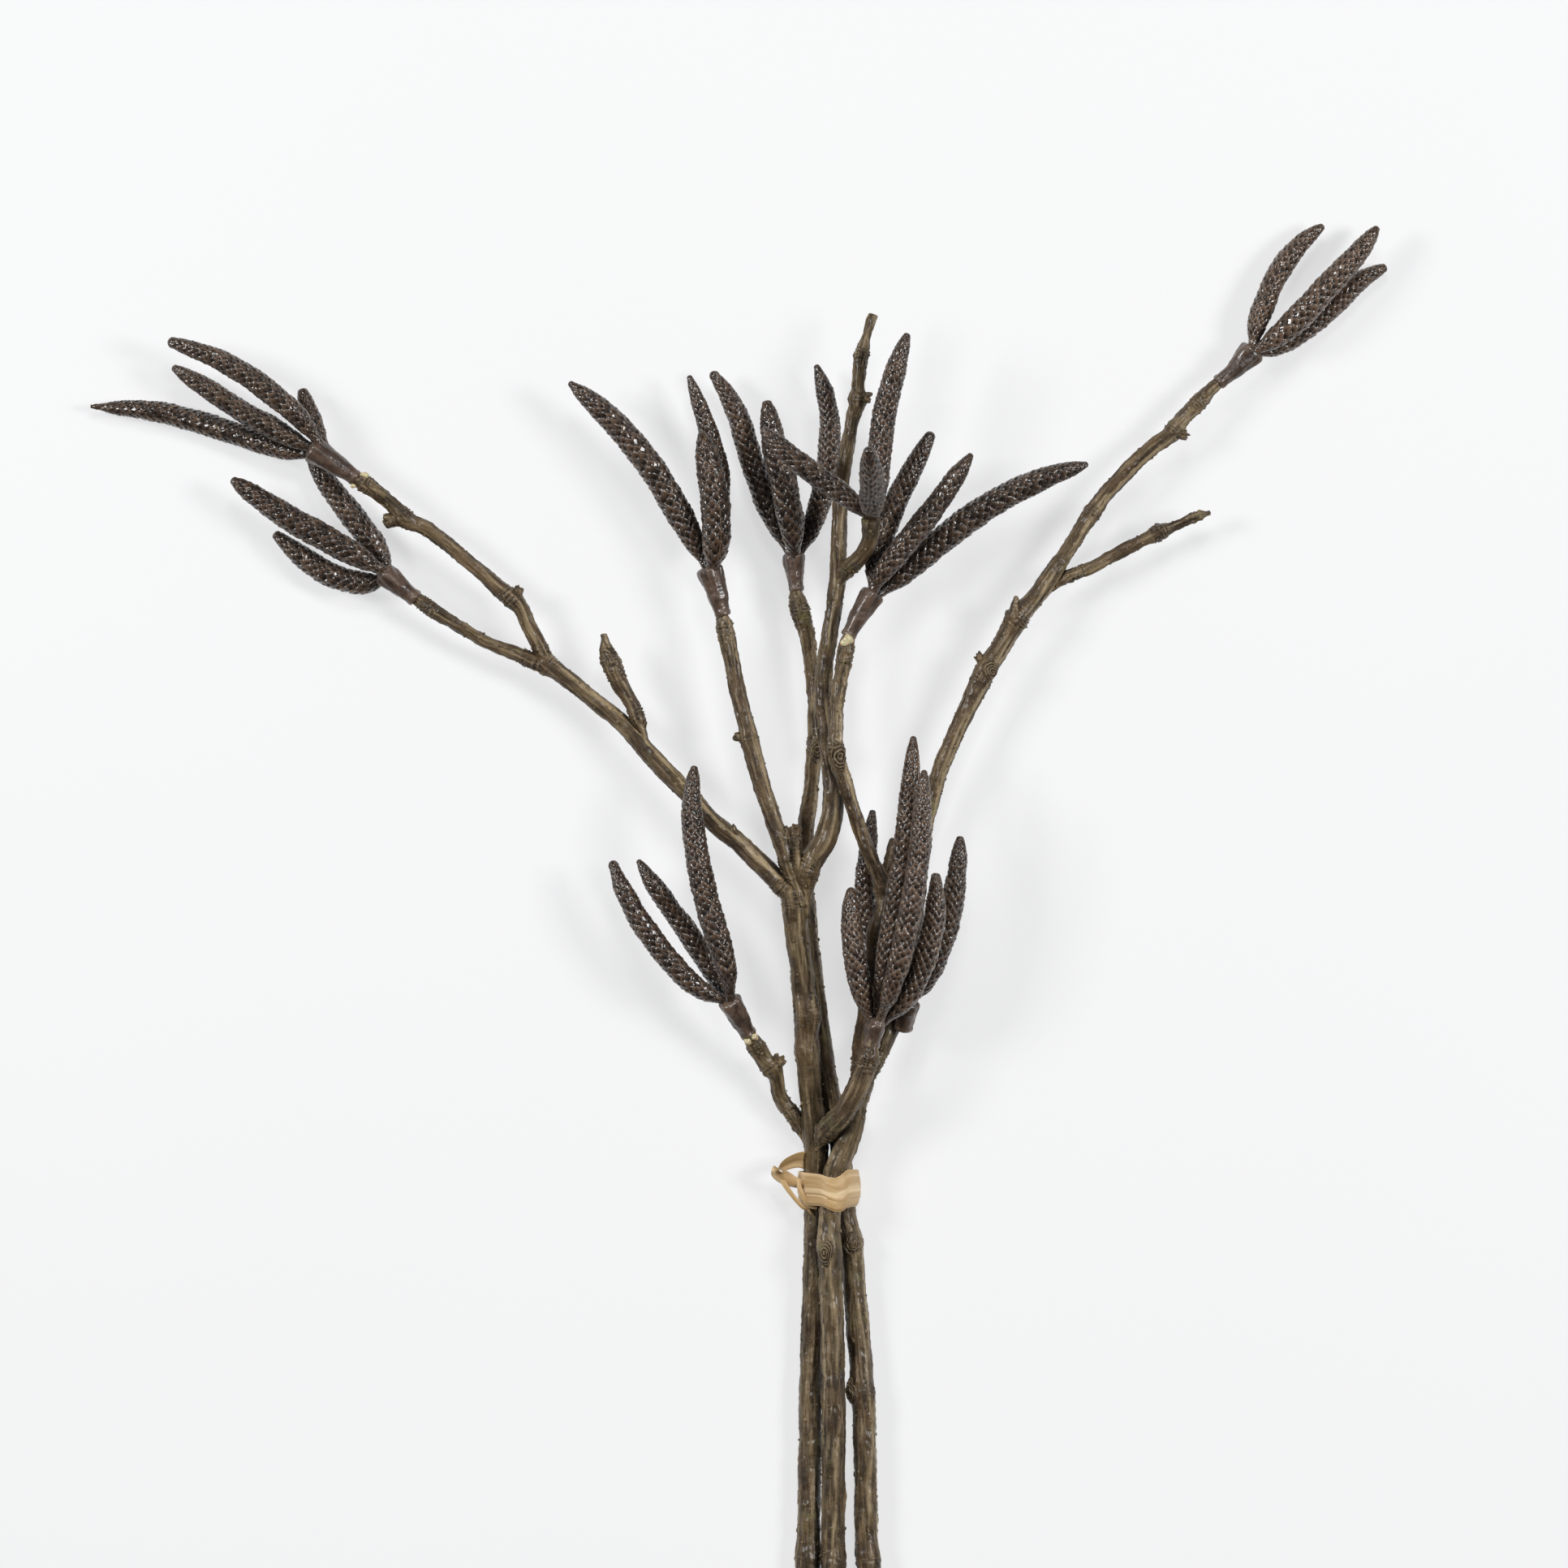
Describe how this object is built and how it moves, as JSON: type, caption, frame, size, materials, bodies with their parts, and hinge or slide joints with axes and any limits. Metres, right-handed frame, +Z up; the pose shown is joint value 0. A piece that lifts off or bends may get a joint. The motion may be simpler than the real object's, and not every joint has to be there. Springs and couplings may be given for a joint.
{
  "type": "bundle of catkin twigs",
  "caption": "Loose bundle of forked alder-like branches with hanging-cone catkins, tied round the stems with a strip of raffia and lying on its side.",
  "frame": {"origin": "Middle of the bounding box in plan, on the surface that the bundle lies on.", "axes": "+Y runs from the cut ends of the stems to the catkin tips, +X is to the right as seen from above, +Z is up, away from the surface."},
  "size_m": [0.461, 0.5906, 0.0875],
  "materials": {
    "bark": "satin olive-brown bark, moulded, with darker smudges and pale pimples",
    "catkin": "dark brown glossy scales with reddish and tan touches in the creases",
    "sleeve": "satin dark brown, smooth, with a cut rim",
    "raffia": "pale tan dry leaf strip with fine fibres along it"
  },
  "bodies": {
    "root": {"back_stem": "bark", "bud_twig": "bark", "catkin_a1": "catkin", "catkin_a2": "catkin", "catkin_a3": "catkin", "catkin_a4": "catkin", "catkin_b1": "catkin", "catkin_b2": "catkin", "catkin_b3": "catkin", "catkin_c1": "catkin", "catkin_c2": "catkin", "catkin_c3": "catkin", "catkin_d1": "catkin", "catkin_d2": "catkin", "catkin_d3": "catkin", "catkin_e1": "catkin", "catkin_e2": "catkin", "catkin_e3": "catkin", "catkin_f1": "catkin", "catkin_f2": "catkin", "catkin_f3": "catkin", "catkin_g1": "catkin", "catkin_g2": "catkin", "catkin_g3": "catkin", "catkin_h1": "catkin", "catkin_h2": "catkin", "catkin_h3": "catkin", "catkin_i1": "catkin", "catkin_i2": "catkin", "catkin_i3": "catkin", "catkin_i4": "catkin", "catkin_j1": "catkin", "catkin_j2": "catkin", "centre_branch": "bark", "centre_side_twig": "bark", "far_left_branch": "bark", "front_branch": "bark", "front_shoot": "bark", "inner_left_twig": "bark", "left_stem": "bark", "low_left_shoot": "bark", "mid_left_branch": "bark", "outer_left_twig": "bark", "raffia_tie": "raffia", "right_branch": "bark", "right_stem": "bark", "right_twig": "bark", "sleeve_a": "sleeve", "sleeve_b": "sleeve", "sleeve_c": "sleeve", "sleeve_d": "sleeve", "sleeve_f": "sleeve", "sleeve_g": "sleeve", "sleeve_h": "sleeve", "sleeve_i": "sleeve", "sleeve_j": "sleeve"}
  },
  "joints": []
}
